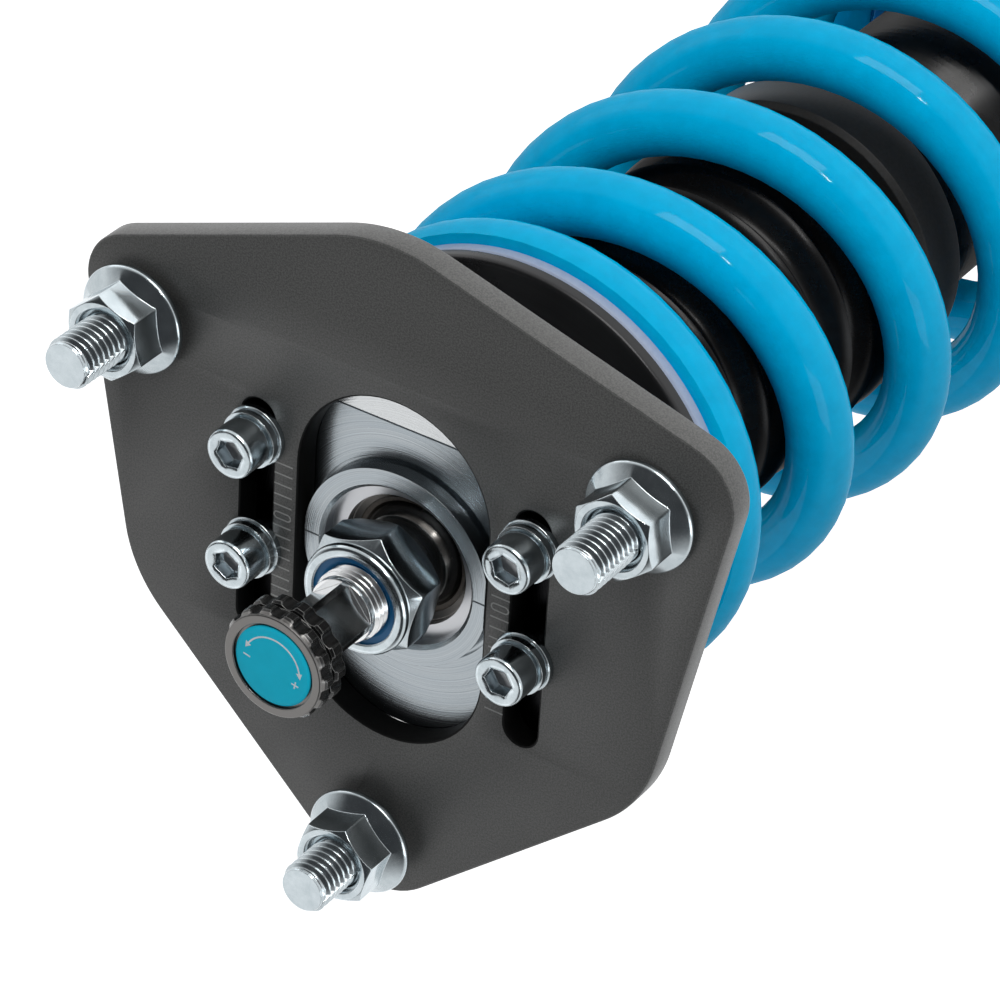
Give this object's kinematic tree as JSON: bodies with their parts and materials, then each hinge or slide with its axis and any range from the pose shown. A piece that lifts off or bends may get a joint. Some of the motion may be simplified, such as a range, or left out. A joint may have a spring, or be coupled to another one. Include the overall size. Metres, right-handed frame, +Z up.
{
  "type": "strut assembly",
  "caption": "Height-adjustable coilover strut with a sliding camber plate, spherical top bearing, damping knob, coil spring over a booted damper, and a clamp bracket for the wheel knuckle.",
  "frame": {"origin": "centre of the three mounting studs' circle, level with the camber plate's upper face that meets the strut tower", "axes": "+Z up along the studs and the strut's axis, out through the damping knob; X across the two rows of slider screws; Y along the camber slots. The rod axis is at x = 2.1 mm, y = -2.7 mm."},
  "size_m": [0.1369, 0.1454, 0.5134],
  "materials": {
    "plate": "dark graphite, satin, speckled",
    "zinc": "bright zinc plate",
    "turned_steel": "turned, concentric marks",
    "bearing_dark": "dark ground bearing steel",
    "liner": "woven bearing liner",
    "chrome_rod": "hard chrome, ground",
    "blue_nylon": "moulded nylon",
    "black_anodised": "black anodised",
    "pale_nylon": "pale slip ring plastic",
    "blue_coat": "gloss blue powder coat",
    "stop_foam": "cellular foam",
    "black_rubber": "moulded rubber",
    "piston_metal": "machined",
    "band": "filled sealing plastic",
    "shim_steel": "spring steel",
    "knob_black": "gloss black, turned rim",
    "label_blue": "domed blue label",
    "brass": "turned",
    "body_black": "black, threaded outside",
    "cuff_grey": "moulded cuff",
    "guide_metal": "machined",
    "blue_anodised": "blue anodised",
    "bracket_black": "satin black"
  },
  "bodies": {
    "camber_top": {"camber_plate": "plate", "mount_studs": "zinc", "mount_nuts": "zinc"},
    "slider": {"slider_plate": "turned_steel", "slider_screws": "zinc", "spring_washers": "zinc", "flat_washers": "zinc", "bearing_race": "bearing_dark", "race_clip": "shim_steel"},
    "bearing_cradle": {"bearing_liner": "liner"},
    "ball": {"bearing_ball": "bearing_dark"},
    "rod": {"piston_rod": "chrome_rod", "rod_nut": "zinc", "nut_insert": "blue_nylon", "upper_spacer": "turned_steel", "lower_spacer": "turned_steel", "upper_seat": "black_anodised", "isolator_ring": "pale_nylon", "main_spring": "blue_coat", "bump_stop": "stop_foam", "dust_boot": "black_rubber", "piston": "piston_metal", "piston_band": "band", "piston_nut": "zinc", "compression_shims": "shim_steel", "rebound_shims": "shim_steel"},
    "knob": {"adjuster_knob": "knob_black", "knob_label": "label_blue", "knob_screw": "bearing_dark", "adjuster_rod": "brass"},
    "damper": {"body_tube": "body_black", "boot_cuff": "cuff_grey", "gland_nut": "piston_metal", "rod_wiper": "black_rubber", "rod_guide": "guide_metal", "gland_oring": "black_rubber", "floating_piston": "piston_metal", "floating_oring": "black_rubber", "base_plug": "piston_metal", "gas_screw": "zinc"},
    "spring_slip": {"slip_ring": "pale_nylon"},
    "perch": {"spring_perch": "blue_anodised", "perch_lock_ring": "blue_anodised"},
    "bracket": {"lower_bracket": "bracket_black"},
    "bracket_ring": {"bracket_lock_ring": "blue_anodised"}
  },
  "joints": [
    {"name": "camber_slide", "type": "slide", "parent": "camber_top", "child": "slider", "axis": [0, 1, 0], "range_m": [-0.015, 0.0035]},
    {"name": "bearing_tilt_x", "type": "hinge", "parent": "slider", "child": "bearing_cradle", "pos_m": [0.0021, -0.0027, -0.013], "axis": [1, 0, 0], "range_deg": [-6, 6]},
    {"name": "bearing_tilt_y", "type": "hinge", "parent": "bearing_cradle", "child": "ball", "pos_m": [0.0021, -0.0027, -0.013], "axis": [0, 1, 0], "range_deg": [-6, 6]},
    {"name": "steer_swivel", "type": "hinge", "parent": "ball", "child": "rod", "pos_m": [0.0021, -0.0027, -0.013], "axis": [0, 0, 1], "range_deg": [-45, 45]},
    {"name": "knob_turn", "type": "hinge", "parent": "rod", "child": "knob", "pos_m": [0.0021, -0.0027, 0.0325], "axis": [0, 0, 1], "range_deg": [-360, 360]},
    {"name": "damper_stroke", "type": "slide", "parent": "rod", "child": "damper", "axis": [0, 0, 1], "range_m": [0, 0.065], "stiffness_N_per_m": 50000, "deforming": ["main_spring", "dust_boot"]},
    {"name": "perch_travel", "type": "slide", "parent": "damper", "child": "spring_slip", "axis": [0, 0, 1], "range_m": [-0.02, 0]},
    {"name": "perch_spin", "type": "hinge", "parent": "spring_slip", "child": "perch", "pos_m": [0.0021, -0.0027, -0.25], "axis": [0, 0, 1], "range_deg": [-3610, 10]},
    {"name": "bracket_travel", "type": "slide", "parent": "damper", "child": "bracket", "axis": [0, 0, 1], "range_m": [-0.01, 0.015]},
    {"name": "bracket_ring_spin", "type": "hinge", "parent": "bracket", "child": "bracket_ring", "pos_m": [0.0021, -0.0027, -0.345], "axis": [0, 0, 1], "range_deg": [-1810, 2710]}
  ],
  "couplings": [
    {"joint": "perch_spin", "follows": "perch_travel", "rad_per_m": 3141.6},
    {"joint": "bracket_ring_spin", "follows": "bracket_travel", "rad_per_m": 3141.6}
  ]
}
